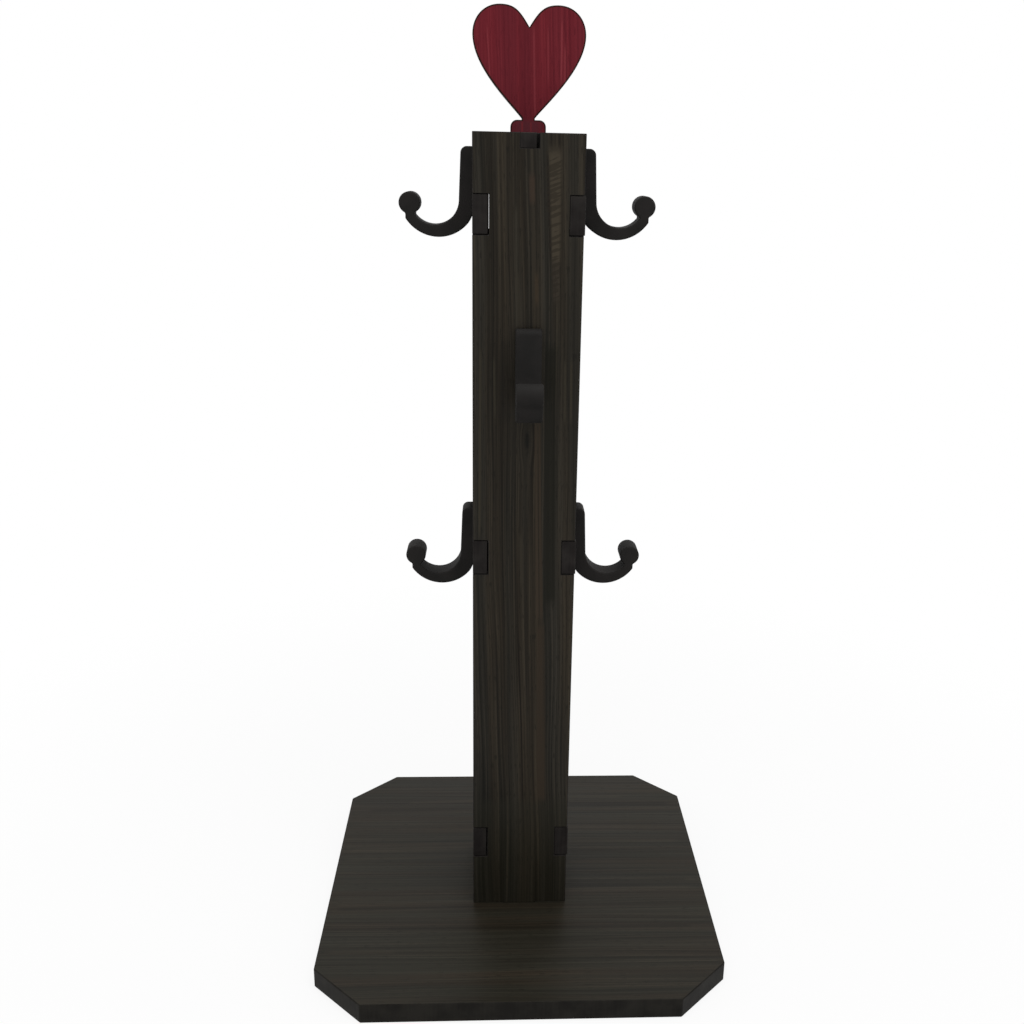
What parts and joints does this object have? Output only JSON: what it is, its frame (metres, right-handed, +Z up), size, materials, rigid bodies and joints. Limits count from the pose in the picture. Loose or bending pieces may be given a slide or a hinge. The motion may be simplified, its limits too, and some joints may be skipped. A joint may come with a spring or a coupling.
{
  "type": "mug tree",
  "caption": "Free-standing mug tree: a hollow square post of slotted boards on a chamfered square base, with J-shaped hooks on its sides and a flat heart on top.",
  "frame": {"origin": "centre of the underside of the base", "axes": "+Z up the post, -Y towards the front hook, +X towards the right-hand hooks as seen from the front"},
  "size_m": [0.176, 0.176, 0.3916],
  "materials": {
    "base": "dark stained board, satin, grain from side to side",
    "board": "dark stained open-grained board, satin, grain running up the post",
    "heart": "deep red stained board with darkened cut edges",
    "hook": "satin charcoal with rounded edges"
  },
  "bodies": {
    "root": {"base_plate": "base", "front_panel": "board", "back_panel": "board", "left_panel": "board", "right_panel": "board", "top_plate": "board", "heart_topper": "heart", "upper_left_hook": "hook", "upper_right_hook": "hook", "front_hook": "hook", "back_hook": "hook", "lower_left_hook": "hook", "lower_right_hook": "hook"}
  },
  "joints": []
}
